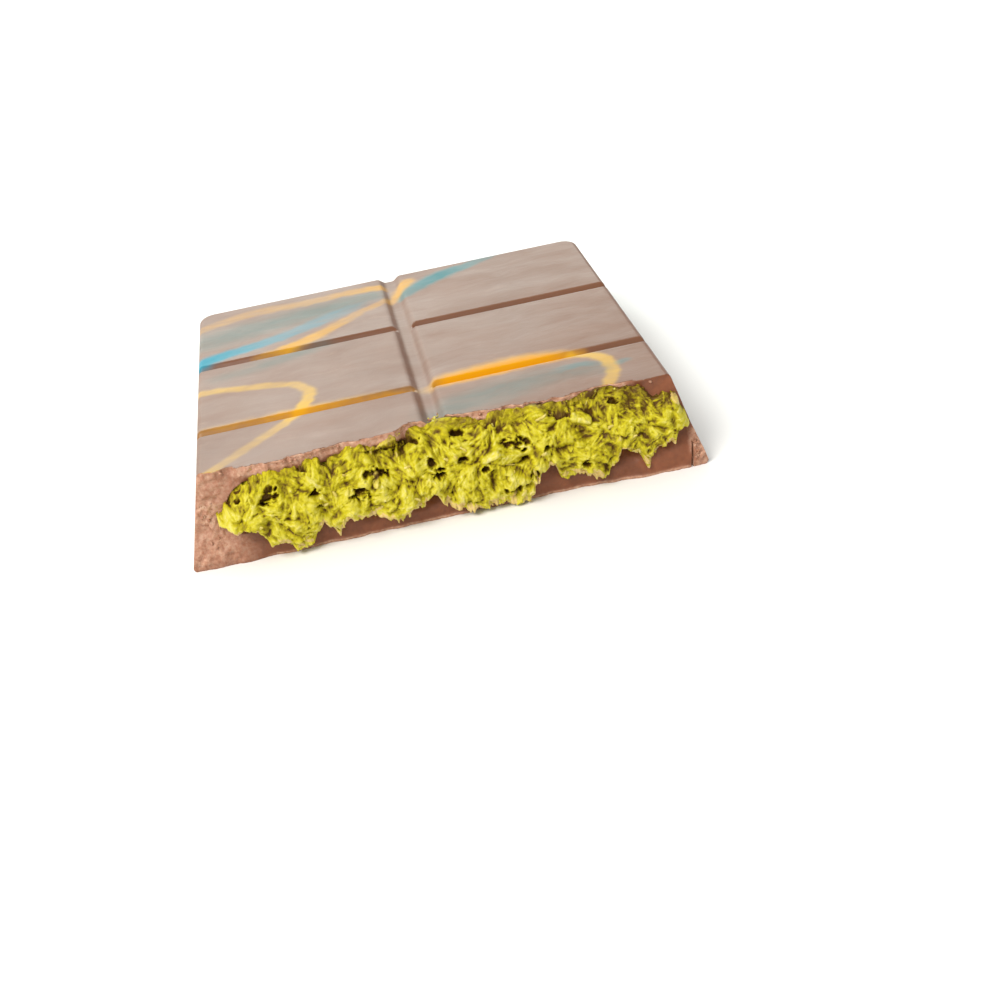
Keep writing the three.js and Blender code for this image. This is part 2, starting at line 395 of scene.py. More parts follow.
# The chocolate shell
breakLine = [(-46, 68.4), (-35, 68.4), (-25, 69.4), (-17, 68.6), (-10, 67.2), (0, 66.4),
             (8, 67.9), (17, 69), (26, 68), (33, 69.2), (46, 68.4)]
baseReach = [(-46, 70.1), (18, 70.1), (31, 71.3), (46, 71.3)]
breakShape = {
    "cell": 0.27,
    "coarse": 0.5,
    "fine": 0.12,
    "crumbs": 0.42,
    "crumble": 0.7,
    # a longer bit of the roof: place across, half width, reach and from which height
    "chip": (-9.0, 5.0, 1.3, (12.4, 13.6)),
    # the block that the cutter starts from: width, height, middle height and front
    "cutter": (88, 20, 7, -90),
}
# where the chocolate broke into crumbs, and where painted light makes it pale, eased between places across
# and heights
crumbleAndLightZones = {
    "rim": (2.4, 0.9),
    "rimLeft": (-34, -29),
    "rimRight": (28, 31),
    # the left end, paler and rougher: its paleness is painted light
    "corner": ((-35, -27), (-6, 3), 0.75),
    # a pale line along the lower front edge: painted highlight
    "foot": ((-30, -26), (0.2, 0.6)),
    # places across and up, and radii
    "patches": [(-36.0, 8.2, 3.6, 3.2), (38.9, 3.2, 1.9, 3.6), (-38.0, 1.0, 2.0, 1.2)],
    "patchEdge": (2.2, 0.8),
}
shellShape = {
    "across": 230, "deep": 225, "front": -76.0, "gather": 3.2, "pull": 0.45, "edgeSteps": 4,
    "wallSteps": 12,
}


def crumbledAndLitAt(x, z):
    # 0 where the chocolate broke smoothly, 1 where it broke into crumbs or where painted light makes it
    # pale
    c = crumbleAndLightZones
    start, full = (bar["height"] - depth for depth in c["rim"])
    rim = ease(start, full, z) * ease(*c["rimLeft"], x) * (1 - ease(*c["rimRight"], x))
    patch = max(1 - math.hypot((x - px) / rx, (z - pz) / rz) for px, pz, rx, rz in c["patches"])
    # painted light: the left end paler
    across, up, share = c["corner"]
    corner = share * (1 - ease(*across, x)) * ease(*up, z)
    # painted highlight: a pale line along the lower edge
    across, up = c["foot"]
    foot = (1 - ease(*up, z)) * ease(*across, x)
    sharp, uneven = c["patchEdge"]
    patch = sharp * patch + uneven * noise.noise((x * 0.8, 2.0, z * 0.8))
    return min(1.0, max(0.0, rim, corner, foot, patch))


def breakReach(x, z):
    up = ease(bar["base"] * 0.6, bar["base"] * 2.2, z)
    reach = valueAt(baseReach, x) * (1 - up) + valueAt(breakLine, x) * up
    reach += breakShape["coarse"] * noise.noise((x * 0.4, 3.7, z * 0.45))
    reach += breakShape["fine"] * noise.noise((x * 1.9, 8.1, z * 1.9))
    crumbledAndLit = crumbledAndLitAt(x, z) * ease(0.2, 0.8, z)
    if crumbledAndLit > 0:
        craggy = noise.ridged_multi_fractal((x * 0.7, 8.1, z * 0.8), 0.9, 2.2, 5, 1.0, 2.0)
        reach += breakShape["crumbs"] * crumbledAndLit * (craggy - 1.1)
    chipAcross, chipWidth, chipReach, chipUp = breakShape["chip"]
    away = abs(x - chipAcross) / chipWidth
    reach += chipReach * (1 - ease(0.5, 1, away)) * ease(*chipUp, z)
    rim = ease(bar["height"] - 2.0, bar["height"], z) * ease(0.6, 1.1, away)
    chips = max(0.0, noise.noise((x * 0.4, 1.2, 4.0)) + 0.6 * noise.noise((x * 1.5, 6.0, z * 0.7)))
    return reach - breakShape["crumble"] * rim * chips


def grooveDrop(distance, groove):
    half, floor, depth = groove
    return depth * (1 - ease(floor, half, abs(distance)))


def gathered(place, centre):
    d = place - centre
    reach = shellShape["gather"]
    if abs(d) >= reach:
        return place
    return centre + d * (1 - shellShape["pull"] * (1 - abs(d) / reach))


def extrudeRim(bm, rim):
    # gives the new vertices and the new rim
    made = bmesh.ops.extrude_edge_only(bm, edges=rim)["geom"]
    fresh = [g for g in made if isinstance(g, bmesh.types.BMVert)]
    return fresh, [g for g in made if isinstance(g, bmesh.types.BMEdge) and g.is_boundary]


def makeBlock():
    # a fine grid for the padded top; its rim is extruded into the rounded edge, the walls and the base
    half = bar["width"] / 2 - bar["edge"]
    back = bar["lean"] - bar["edge"]
    front = shellShape["front"]
    corner = bar["corner"] - bar["edge"]
    squeeze = 1 - bar["lean"] / (bar["width"] / 2)
    bm = bmesh.new()
    bmesh.ops.create_grid(bm, x_segments=shellShape["across"], y_segments=shellShape["deep"], size=1)
    outward = {}
    for v in bm.verts:
        x = gathered(v.co.x * half, 0)
        y = front + (back - front) * (v.co.y + 1) / 2
        for row in (1, 2):
            y = gathered(y, -row * bar["pitch"])
        out = Vector((0, 0))
        if abs(v.co.x) > 0.9999:
            out.x = math.copysign(1, x)
        if abs(v.co.y) > 0.9999:
            out.y = math.copysign(1, v.co.y)
        u = (abs(x) - half + corner) / corner
        w = (y - back + corner) / corner
        if u > 0 and w > 0:
            roundX = u * math.sqrt(1 - w * w / 2)
            roundY = w * math.sqrt(1 - u * u / 2)
            x = math.copysign(half - corner + corner * roundX, x)
            y = back - corner + corner * roundY
            if out.length > 0:
                out = Vector((math.copysign(roundX, x), roundY)).normalized()
        drop = grooveDrop(x * squeeze, bar["centreGroove"])
        row = max(grooveDrop(y + row * bar["pitch"], bar["rowGroove"]) for row in (1, 2))
        drop = max(drop, row * (1 - drop / bar["centreGroove"][2]))
        v.co = (x, y, bar["height"] - drop)
        outward[v] = out
    rim = [e for e in bm.edges if e.is_boundary]
    edge = bar["edge"]
    steps = shellShape["edgeSteps"]
    turns = [math.pi / 2 * (k + 1) / steps for k in range(steps)]
    rings = [(edge * math.sin(t), 1.0, -edge * (1 - math.cos(t))) for t in turns]
    walls = shellShape["wallSteps"]
    rings += [(edge, 1 - (k + 1) / walls, 0) for k in range(walls)]
    rings += [(edge * math.cos(t), 0.0, -edge * math.sin(t)) for t in turns]
    plan = {v: (v.co.xy.copy(), v.co.z) for v in {v for e in rim for v in e.verts}}
    for out, height, rise in rings:
        fresh, rim = extrudeRim(bm, rim)
        following = {}
        for v in fresh:
            before = next(e.other_vert(v) for e in v.link_edges if e.other_vert(v) in plan)
            flat, top = plan[before]
            outward[v] = outward[before]
            following[v] = (flat, top)
            shoulder = top - edge
            z = edge + (shoulder - edge) * height + (edge if height == 1.0 else 0) + rise
            v.co = (*(flat + outward[v] * out), z)
        plan = following
    bmesh.ops.holes_fill(bm, edges=rim, sides=0)
    for v in bm.verts:
        lean = bar["lean"] * v.co.z / bar["height"]
        v.co.x *= 1 - lean / (bar["width"] / 2)
        v.co.y -= lean * ease(-20, 1, v.co.y)
    bmesh.ops.recalc_face_normals(bm, faces=bm.faces)
    return bm


hollow = {"front": -80, "round": 3.4, "segments": 6}


def makeHollow():
    # the space that the filling is in, open at the break
    lean = bar["lean"]
    bm = bmesh.new()
    bmesh.ops.create_cube(bm, size=1)
    low = bar["base"]
    high = bar["height"] - bar["roof"]
    for v in bm.verts:
        z = high if v.co.z > 0 else low + (bar["floorRise"] if v.co.y < 0 else 0)
        shift = lean * z / bar["height"]
        x = bar["width"] / 2 - (bar["wall"] if v.co.x > 0 else bar["leftWall"]) - shift
        y = lean - bar["wall"] - shift if v.co.y > 0 else hollow["front"]
        v.co = (math.copysign(x, v.co.x), y, z)
    long = [e for e in bm.edges if abs(e.verts[0].co.y - e.verts[1].co.y) > bar["width"] / 2]
    bmesh.ops.bevel(bm, geom=long, offset=hollow["round"], offset_type="OFFSET",
                    segments=hollow["segments"], profile=0.5, affect="EDGES", material=-1)
    return bm


def makeBreakCutter():
    # everything in front of the break
    cell = breakShape["cell"]
    wide, tall, middle, front = breakShape["cutter"]
    bm = bmesh.new()
    bmesh.ops.create_grid(bm, x_segments=int(wide / cell), y_segments=int(tall / cell), size=1,
                          matrix=Matrix.Rotation(math.pi / 2, 4, "X"))
    for v in bm.verts:
        x = v.co.x * wide / 2
        z = middle + v.co.z * tall / 2
        v.co = (x, -breakReach(x, z), z)
    fresh, rim = extrudeRim(bm, [e for e in bm.edges if e.is_boundary])
    for v in fresh:
        v.co.y = front
    bmesh.ops.holes_fill(bm, edges=rim, sides=0)
    bmesh.ops.recalc_face_normals(bm, faces=bm.faces)
    return bm


crack = {"place": (37.4, -71.0, 1.5), "size": (0.65, 5.0, 4.6), "turn": 0.17}


def makeCrack():
    bm = bmesh.new()
    bmesh.ops.create_cube(bm, size=1)
    for v in bm.verts:
        v.co = Vector(v.co[i] * crack["size"][i] for i in range(3))
        if v.co.y > 0:
            v.co.x *= 0.1
    bmesh.ops.rotate(bm, verts=bm.verts, matrix=Matrix.Rotation(crack["turn"], 3, "Y"))
    bmesh.ops.translate(bm, verts=bm.verts, vec=crack["place"])
    return bm


# Coloured streaks on the top
streakColours = {
    "blue": (0.022, 0.235, 0.32),
    "sky": (0.054, 0.18, 0.195),
    "haze": (0.083, 0.138, 0.128),
    "yellow": (0.64, 0.38, 0.030),
    "amber": (0.62, 0.31, 0.006),
    "orange": (0.60, 0.26, 0.001),
}
# how soft a streak's edge is, how it wavers (size per mm, mm), and how it ends below the top (mm)
streakEdge = {"soft": 0.9, "softHaze": 1.5, "waver": (0.6, 0.35), "down": 3.2, "fade": (2.0, 0.9)}
# colour, half width and strength at each point, and the points across and down the bar
streaks = [
    ("haze", [(4.5, 0.6), (4.6, 0.7), (4, 0.75), (2.6, 0.7)],
     [(-36, -14.6), (-26, -13), (-15, -10.8), (-4, -8.4)]),
    ("blue", [(2.3, 1), (2.2, 1), (2, 0.88), (1.9, 0.75), (2.1, 0.62), (2.3, 0.5), (2, 0.35),
              (1.4, 0.1)],
     [(-37.5, -25.2), (-33.2, -23.6), (-29, -22.3), (-23.3, -20.5), (-17.5, -17.9), (-12.2, -14.9),
      (-8.3, -13), (-3, -10.8)]),
    ("amber", [(1.5, 0.32), (1.8, 0.4), (2, 0.45), (1.7, 0.42), (1.6, 0.5), (1.6, 0.75)],
     [(-37.5, -8.6), (-30.2, -5.8), (-24, -4.5), (-17, -5), (-9, -4.4), (-2.2, -4.9)]),
    ("amber", [(1.7, 0.75), (1.9, 0.82), (1.4, 0.7), (1.1, 0.45), (1.3, 0.42), (1.5, 0.52), (1.9, 0.78),
               (1.7, 0.85), (0.8, 0.3)],
     [(3.1, -4.9), (1.8, -7), (0.3, -10.2), (-2.5, -13.1), (-6.7, -15.8), (-10.7, -19.2), (-15.4, -23),
      (-20.5, -25.6), (-26.5, -26.8)]),
    ("sky", [(1.6, 0.7), (2.2, 0.9), (2.4, 1), (1.8, 0.85), (1.2, 0.5)],
     [(1.9, -11.6), (5.2, -8.2), (9.4, -5.1), (14, -3.2), (21, 0.3)]),
    ("yellow", [(1.3, 0.7), (1.3, 0.6), (1.3, 0.55), (1.3, 0.55), (1.3, 0.55), (1.2, 0.6), (1.2, 0.65),
                (1.2, 0.85), (1.2, 1), (1.1, 0.6), (1.1, 0.45), (1.1, 0.42), (0.9, 0.8)],
     [(-37.5, -37.6), (-32.2, -38.3), (-28.9, -39.2), (-24.8, -40.4), (-21.3, -41.6), (-18.9, -43.6),
      (-17.7, -47), (-18.6, -50.8), (-20.6, -54.6), (-23, -57.6), (-27.3, -61.9), (-31.9, -66.6),
      (-35.2, -69.4)]),
    ("yellow", [(1, 0.15), (1.2, 0.25), (1.4, 0.4), (1.3, 0.25), (1.2, 0.2), (1.5, 0.2)],
     [(-36.5, -53), (-27, -52.9), (-19.5, -52.9), (-12, -53.1), (-5, -53.4), (1, -53.8)]),
    ("amber", [(1.6, 0.3), (2.5, 0.7), (2.9, 0.75), (3, 0.75), (2.6, 0.65), (1.6, 0.5)],
     [(1.5, -53.9), (4, -53.5), (9.4, -53.1), (15, -52.8), (20, -53.1), (25.4, -54.3)]),
    ("orange", [(0.6, 0.15), (0.7, 0.34), (1.1, 0.72), (0.9, 0.58), (0.85, 0.55), (0.85, 0.55), (0.7, 0.1)],
     [(-36.5, -53.3), (-30, -53.2), (-19.5, -53.3), (-13, -53.6), (-7, -53.8), (-3.4, -53.9),
      (-1.9, -54)]),
    ("orange", [(0.9, 0.2), (1.9, 1), (2.2, 1), (2.3, 1), (1.9, 0.9), (1.2, 0.5)],
     [(1.9, -54.3), (4, -53.9), (9.4, -53.6), (15, -53.3), (20, -53.6), (24, -54.3)]),
    ("yellow", [(1.3, 0.78), (1.3, 0.76), (1.3, 0.72), (1.3, 0.7), (1.3, 0.65), (1.1, 0.6)],
     [(24, -54.2), (26.7, -56), (28.3, -58.6), (28.6, -61.6), (27.9, -65.2), (26, -69)]),
    ("haze", [(3.6, 0.55), (4, 0.65), (3.8, 0.6), (2.8, 0.5), (2, 0.4)],
     [(1, -64.6), (7.5, -63), (14, -61.4), (21, -60.4), (26.6, -62)]),
    ("sky", [(0.9, 0.1), (1.1, 0.55), (1.1, 0.6), (0.8, 0.3)],
     [(20, -59.2), (22.5, -58.7), (25, -58.8), (27, -59.8)]),
    ("sky", [(1, 0.6), (1, 0.5)], [(30.2, -61), (31, -60.6)]),
    ("haze", [(1.8, 0.3), (2.4, 0.5), (2.4, 0.55), (1.8, 0.5)],
     [(-33, -33.2), (-25.3, -31.2), (-18.3, -28.8), (-14, -27)]),
]


def curvePoints(points, values, steps=10):
    # a smooth curve through the points, with its values in between
    padded = [points[0], *points, points[-1]]
    found = []
    for i in range(len(points) - 1):
        a, b, c, d = (np.array(padded[i + k]) for k in range(4))
        for k in range(steps + (i == len(points) - 2)):
            t = k / steps
            place = 0.5 * (2 * b + (c - a) * t + (2 * a - 5 * b + 4 * c - d) * t ** 2
                           + (3 * b - a - 3 * c + d) * t ** 3)
            value = np.array(values[i]) * (1 - t) + np.array(values[i + 1]) * t
            found.append((*place, *value))
    return np.array(found)


def paintStreaks(piece):
    mesh = piece.data
    co = (pointsOf(mesh) - np.array(barOrigin)) / mm
    top = co[:, 2] > bar["height"] - streakEdge["down"]
    size, waver = streakEdge["waver"]
    wavy = np.array([[noise.noise((x * size, y * size, 3)), noise.noise((x * size, y * size, 9))]
                     for x, y in co[top, :2]])
    flat = co[top, :2] + waver * wavy
    colour = np.zeros((len(co), 4))
    tint = np.tile(np.array(streakColours["yellow"]), (top.sum(), 1))
    cover = np.zeros(top.sum())
    for name, values, points in streaks:
        line = curvePoints(points, values)
        best = np.full(len(flat), 1e9)
        strength = np.zeros(len(flat))
        for p, q in zip(line, line[1:]):
            d = q[:2] - p[:2]
            t = np.clip(((flat - p[:2]) @ d) / max(d @ d, 1e-9), 0, 1)
            gap = np.linalg.norm(flat - p[:2] - t[:, None] * d, axis=1)
            width = p[2] + (q[2] - p[2]) * t
            away = gap / width
            closer = away < best
            best = np.where(closer, away, best)
            strength = np.where(closer, p[3] + (q[3] - p[3]) * t, strength)
        soft = streakEdge["softHaze" if name == "haze" else "soft"]
        fade = np.clip(0.5 + (0.9 - best) / soft, 0, 1)
        mask = strength * fade * fade * (3 - 2 * fade)
        share = np.where(mask > 0.001, mask / np.maximum(mask + cover * (1 - mask), 1e-6), 0)
        tint = tint * (1 - share[:, None]) + np.array(streakColours[name]) * share[:, None]
        cover = mask + cover * (1 - mask)
    colour[top, :3] = tint
    fadeDown, fadeOver = streakEdge["fade"]
    colour[top, 3] = cover * np.clip((co[top, 2] - bar["height"] + fadeDown) / fadeOver, 0, 1)
    setLayer(mesh, "streak", "FLOAT_COLOR", colour)
    # this value also paints light: the left end and the lower edge paler
    setLayer(mesh, "crumbledAndLit", "FLOAT", [crumbledAndLitAt(x, z) if y < -64 else 0.0 for x, y, z in co])


def makeShell():
    skin = makeMouldedChocolate()
    broken = makeBrokenChocolate()
    shell = makeObject("moulded_shell", makeBlock(), [skin, broken])
    for makeCutter in (makeHollow, makeBreakCutter, makeCrack):
        cutAway(shell, makeObject("cutter", makeCutter(), [broken]))
    mendSeams(shell)
    paintStreaks(shell)
    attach(shell, "root")
    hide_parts("chocolate_shell")
    print("shell", len(shell.data.polygons), [m.name for m in shell.data.materials])
    return shell


# The filling
lowerEdge = [
    (-40, 7.4), (-33.6, 6.6), (-31.5, 5.7), (-29.6, 5.6), (-28.4, 4.2), (-27.4, 2.2), (-25.2, 1.8),
    (-23.8, 0.9), (-21.8, 1), (-19.2, 4.2), (-18.4, 3.2), (-17.3, 1.2), (-15.8, 3.8), (-11.5, 3.5),
    (-8.2, 1.7), (-5, 2.8), (-2, 4.4), (-1, 2.6), (1.4, 1.1), (4.6, 0.4), (7, 1), (9.6, 0.4),
    (11.6, 0.4), (13.2, 2.6), (14.5, 5.2), (16.2, 5.5), (17.2, 2.6), (19.5, 2.9), (22.4, 1.8), (23.9, 0.7),
    (25.4, 3), (26.8, 5.3), (29.2, 3.9), (30.6, 1.5), (31.8, 3.3), (34.2, 4.8), (34.9, 4.2), (35.7, 6.3),
    (40, 6.2)]
upperEdge = [
    (-40, 8.4), (-33.8, 8.2), (-32.6, 9.8), (-31, 11.4), (-28.8, 13.1), (-25, 13.8), (-22.5, 13.4),
    (-20, 14.2), (-17.4, 13.2), (-14, 14.2), (-9, 14), (-5.2, 13.6), (-3.2, 14.6), (8, 14.6), (18, 14.5),
    (24, 14.7), (28, 14.6), (31.5, 13.6), (33, 12.3), (36, 11.5), (37.2, 9), (38, 7), (40, 6.6)]
# hollows in the torn face, darkened by painted shade: across, up and radius
pits = [(-26.1, 10, 1.1), (-20.8, 13, 0.7), (-17.1, 12.9, 0.6), (-13.2, 7.6, 1), (-10.4, 10, 1.1),
        (-7.3, 12.8, 0.7), (-4.7, 13.2, 1), (2.9, 12.6, 0.7), (5.9, 7.1, 0.7), (8.2, 13.5, 0.8),
        (10.4, 10.4, 0.9), (12.6, 10.2, 0.7), (13.5, 4.9, 0.9), (9.5, 3, 0.8), (18.4, 12.9, 1),
        (26.8, 12.9, 0.7)]
smallPits = {"count": 14, "across": (-32, 35), "up": (1.5, 13), "radius": (0.4, 0.8)}
# squeezed across and up, uneven by noise (size per mm, share), crossed by some shreds; depth in mm
pitShape = {
    "squeeze": (0.75, 1.3), "uneven": ((0.9, 0.9), (1.9, 0.5)), "fibre": 0.45, "tuft": 0.65,
    "steep": 1.8, "depth": 1.5, "flatten": 0.6,
}
# single flakes that show best: from and to, across and up, width, and how pale
bigFlakes = [((35.4, 11.6), (37.2, 10.4), 1.6, 0.95), ((19.8, 12.2), (23.0, 11.0), 1.5, 0.55),
             ((5.4, 8.5), (8.4, 9.4), 1.0, 0.6), ((-9.6, 13.5), (-5.2, 14.2), 0.9, 0.9),
             ((-10.7, 8.2), (-10.1, 10.4), 0.9, 0.9), ((13.6, 3.2), (12.6, 5.4), 1.0, 0.6)]
bigFlake = {"thickness": 0.5, "height": 0.35, "tilt": 0.06, "curve": 0.05}
fillingShape = {
    "left": -34.6, "right": 38.0, "reach": 71.8, "lean": 2.4, "front": 74.4, "across": 600,
    "up": 130, "ragged": (0.6, 0.4), "swell": 0.5, "roundTop": (0.6, 0.55), "low": 0.3, "seed": 11,
}
# rounded clumps with lumps on them: sizes per mm, heights in mm
clumps = {
    "size": (0.19, 0.22), "height": 0.9, "steep": 1.6, "sunk": 0.6, "warp": (1.2, 0.5),
    "lumps": ((0.3, 1.0), (0.7, 0.55), (1.6, 0.2), (2.7, 0.08)),
}
# how light each place is: painted shade in pits, creases and under the roof and painted highlight on
# ridges; roof, right end and tan foot: how much, from and to
shading = {
    "base": 0.47, "stand": 0.78, "standMost": 0.3, "rounds": ((5, 0.9), (30, 0.6), (140, 0.5)),
    "fibre": 0.28, "tuft": 0.22, "flake": 0.14, "pitShade": 0.5,
    "roof": ((0.2, 0.66, 0.92), (0.22, 0.86, 0.98)), "right": (0.1, 12, 20), "toneShare": 0.82,
    "foot": (0.6, 0.05, 0.2),
}
# shreds that lie over each other: how many, their sizes, how far apart in height, and how far they stray
tufts = {
    "count": 2100, "length": (2.2, 5.4), "width": (0.6, 1.3), "thickness": (0.18, 0.42),
    "apart": 0.55, "tilt": 0.1, "stray": 0.42, "curve": 0.06,
}
fibres = {
    "count": 6500, "length": (1.7, 4.4), "width": (0.26, 0.52), "thickness": (0.08, 0.18),
    "apart": 0.2, "tilt": 0.03, "stray": 0.22, "curve": 0.1,
}


def baseOut(level):
    # which way the torn face looks: down a little at its lower edge, up at its top
    turn = math.radians(-14 + 56 * level)
    return Vector((0, -math.cos(turn), math.sin(turn)))


# which way the shreds lie along the break: angle up from level
flow = [(-34, 0.6), (-20, 1.1), (-8, 0.7), (1, 0.5), (9, 0.1), (17, 1.8), (26, 1.6), (38, 2.1)]


def flowAt(x, z):
    return valueAt(flow, x) + 1.4 * math.pi * noise.noise((x * 0.14, 7.7, z * 0.12))


def noiseOver(x, z, size, layer):
    found = [noise.noise((a * size, layer, b * size)) for a, b in zip(x.flat, z.flat)]
    return np.array(found).reshape(x.shape)


def soften(values, rounds):
    for _ in range(rounds):
        wide = np.pad(values, 1, mode="edge")
        values = (wide[:-2, 1:-1] + wide[2:, 1:-1] + wide[1:-1, :-2] + wide[1:-1, 2:] + 4 * values) / 8
    return values


def layShred(layer, centre, turn, size, height, tilt, curve, own):
    # one shred: it shows wherever it is higher than what lies there already
    x, z = layer["x"], layer["z"]
    length, width, thickness = size
    span = int(length / 2 / (x[1, 0] - x[0, 0])) + 1
    middle = int((centre[0] - x[0, 0]) / (x[1, 0] - x[0, 0]))
    part = slice(max(0, middle - span), middle + span + 1)
    dx = x[part] - centre[0]
    dz = z[part] - centre[1]
    along = dx * math.cos(turn) + dz * math.sin(turn)
    side = dz * math.cos(turn) - dx * math.sin(turn) + curve * along ** 2
    dome = 1 - (2 * along / length) ** 4 - (2 * side / width) ** 2
    top = height + thickness * np.sqrt(np.clip(dome, 0, 1)) + tilt * along
    shown = (dome > 0) & (top > layer["top"][part])
    for name, value in (("top", top), ("along", along), ("side", side)):
        layer[name][part][shown] = value[shown]
    layer["own"][part][shown] = own


def layShreds(rng, x, z, kind):
    layer = {"x": x, "z": z, "top": np.full(x.shape, -kind["apart"])}
    for name in ("along", "side", "own"):
        layer[name] = np.zeros(x.shape)
    for _ in range(kind["count"]):
        i = rng.randrange(x.shape[0])
        j = rng.randrange(x.shape[1])
        size = [rng.uniform(*kind[name]) for name in ("length", "width", "thickness")]
        turn = flowAt(x[i, j], z[i, j]) + rng.gauss(0, kind["stray"])
        layShred(layer, (x[i, j], z[i, j]), turn, size, -kind["apart"] * rng.random(),
                 rng.gauss(0, kind["tilt"]), rng.gauss(0, kind["curve"]), rng.random())
    return layer


def clumpRise(x, z):
    sizeAcross, sizeUp = clumps["size"]
    warpBy, warpSize = clumps["warp"]
    warp = warpBy * noiseOver(x, z, warpSize, 12)
    gaps = np.array([noise.voronoi(((a + w) * sizeAcross, 2, (b - w) * sizeUp))[0][:2]
                     for a, b, w in zip(x.flat, z.flat, warp.flat)])
    gap = np.clip(clumps["steep"] * (gaps[:, 1] - gaps[:, 0]), 0, 1).reshape(x.shape)
    rise = clumps["height"] * (gap * (2 - gap) - clumps["sunk"])
    for size, lump in clumps["lumps"]:
        rise += lump * noiseOver(x, z, size, 3 * size)
    return rise


def layBigFlakes(tuft):
    # they share the tufts' places along and across, so the lines on each flake run along it
    layer = dict(tuft, top=np.zeros(tuft["x"].shape), own=tuft["own"] * shading["toneShare"])
    for (x0, z0), (x1, z1), width, pale in bigFlakes:
        place = ((x0 + x1) / 2, (z0 + z1) / 2)
        size = (math.hypot(x1 - x0, z1 - z0), width, bigFlake["thickness"])
        layShred(layer, place, math.atan2(z1 - z0, x1 - x0), size, bigFlake["height"],
                 bigFlake["tilt"], bigFlake["curve"], pale)
    return layer


def pitDepth(x, z, hollows):
    # how far inside a hollow, from 0 at its uneven edge to 1
    wide, tall = pitShape["squeeze"]
    near = [1 - math.hypot(wide * (x - px), tall * (z - pz)) / r
            for px, pz, r in hollows if abs(x - px) < 2 * r]
    if not near:
        return -1
    depth = max(near)
    for size, share in pitShape["uneven"]:
        depth += share * noise.noise((x * size, 3.0, z * size))
    return depth


def followRoof(place, level, relief):
    # the upper edge follows the broken roof; nothing stands above the bar or too far in front
    for j in range(int(0.7 * len(level)), len(level)):
        behind = 0.7 * ease(0.95, 1.0, level[j]) - 0.25
        for i, (a, _, c) in enumerate(place[:, j]):
            place[i, j, 1] = min(place[i, j, 1], -breakReach(a, c) + behind - relief[i, j])
    down, soft = fillingShape["roundTop"]
    limit = bar["height"] - down
    tall = place[:, :, 2]
    rounded = limit + soft * np.tanh((tall - limit) / soft)
    place[:, :, 2] = np.where(tall > limit, rounded, np.maximum(fillingShape["low"], tall))
    place[:, :, 1] = np.maximum(-fillingShape["front"], place[:, :, 1])


def makeFace(rng, hollows):
    # the torn face as a grid of places; level 0 is its lower edge, 1 where it meets the broken roof
    s = fillingShape
    across = np.linspace(s["left"], s["right"], s["across"] + 1)
    level = np.linspace(0, 1, s["up"] + 1)
    broad, small = s["ragged"]
    low = np.array([valueAt(lowerEdge, x) - broad * noise.noise((x * 1.4, 2, 2))
                    - small * noise.noise((x * 3.4, 5, 2)) for x in across])[:, None]
    high = np.array([valueAt(upperEdge, x) for x in across])[:, None]
    x = np.repeat(across[:, None], len(level), axis=1)
    z = low + (high - low) * level
    rise = clumpRise(x, z)
    tuft = layShreds(rng, x, z, tufts)
    rise += soften(tuft["top"], 1)
    fine = layShreds(rng, x, z, fibres)
    rise += fine["top"]
    flakes = layBigFlakes(tuft)
    rise += soften(flakes["top"], 1)
    holes = np.array([pitDepth(a, b, hollows) for a, b in zip(x.flat, z.flat)]).reshape(x.shape)
    # some shreds reach across the edge of a hollow
    holes += pitShape["fibre"] * (fine["own"] - 0.5) + pitShape["tuft"] * (tuft["own"] - 0.5)
    holes = soften(np.clip(pitShape["steep"] * holes, 0, 1), 1)
    rise -= pitShape["depth"] * holes + pitShape["flatten"] * holes * (fine["top"] + tuft["top"])
    swell = s["swell"] * np.sin(np.pi * (0.1 + 0.8 * level))
    line = np.array([valueAt(breakLine, a) for a in across])[:, None]
    y = -line - (s["reach"] + swell - line) * (1 - level ** s["lean"])
    out = np.array([baseOut(t) for t in level])
    place = np.stack([x, y, z], axis=2) + out * rise[:, :, None]
    followRoof(place, level, 0.7 * (tuft["top"] + fine["top"] + 0.4))
    share, *span = shading["foot"]
    tone = flakes["own"] + share * np.array([1 - ease(*span, t) for t in level])
    shade = shading["fibre"] * (fine["own"] - 0.5) + shading["tuft"] * (tuft["own"] - 0.5)
    # painted shade in the hollows
    shade += shading["flake"] * (flakes["top"] > 0) - shading["pitShade"] * holes
    # painted shade under the roof
    shade -= np.array([sum(share * ease(*span, t) for share, *span in shading["roof"]) for t in level])
    share, *span = shading["right"]
    shade -= share * np.array([ease(*span, a) for a in across])[:, None]
    return {"place": place, "fibre": np.stack([tuft["along"], tuft["side"], tone], axis=2), "shade": shade}


def meshArrays(bm):
    bm.verts.ensure_lookup_table()
    points = np.array([v.co for v in bm.verts])
    faces = [[v.index for v in f.verts] for f in bm.faces]
    bm.free()
    return points, faces


def strew(name, shape, places, materials):
    # one mesh of many copies; each place turns the shape's points into its own
    points, faces = shape
    found = np.concatenate([bendShape(place, points) for place in places])
    found[:, 2] = np.minimum(found[:, 2], bar["height"] - 0.03)
    mesh = bpy.data.meshes.new(name)
    count = len(points)
    copies = len(places)
    sizes = [len(f) for f in faces]
    corners = np.concatenate([np.array(sum(faces, [])) + count * k for k in range(copies)])
    mesh.vertices.add(len(found))
    mesh.vertices.foreach_set("co", (found * mm + np.array(barOrigin)).astype(np.float32).ravel())
    mesh.loops.add(len(corners))
    mesh.loops.foreach_set("vertex_index", corners.astype(np.int32))
    mesh.polygons.add(len(sizes) * copies)
    starts = np.concatenate([[0], np.cumsum(sizes * copies)[:-1]])
    mesh.polygons.foreach_set("loop_start", starts.astype(np.int32))
    mesh.update(calc_edges=True)
    return addPiece(name, mesh, materials)


# drawn for each small flake, in mm and radians
flakeRanges = {
    "width": (0.3, 0.6), "thickness": (0.2, 0.3), "twist": (-0.7, 0.7), "sway": (-0.2, 0.2),
    "bend": (0.0, 0.15), "taper": (0.0, 0.4),
}


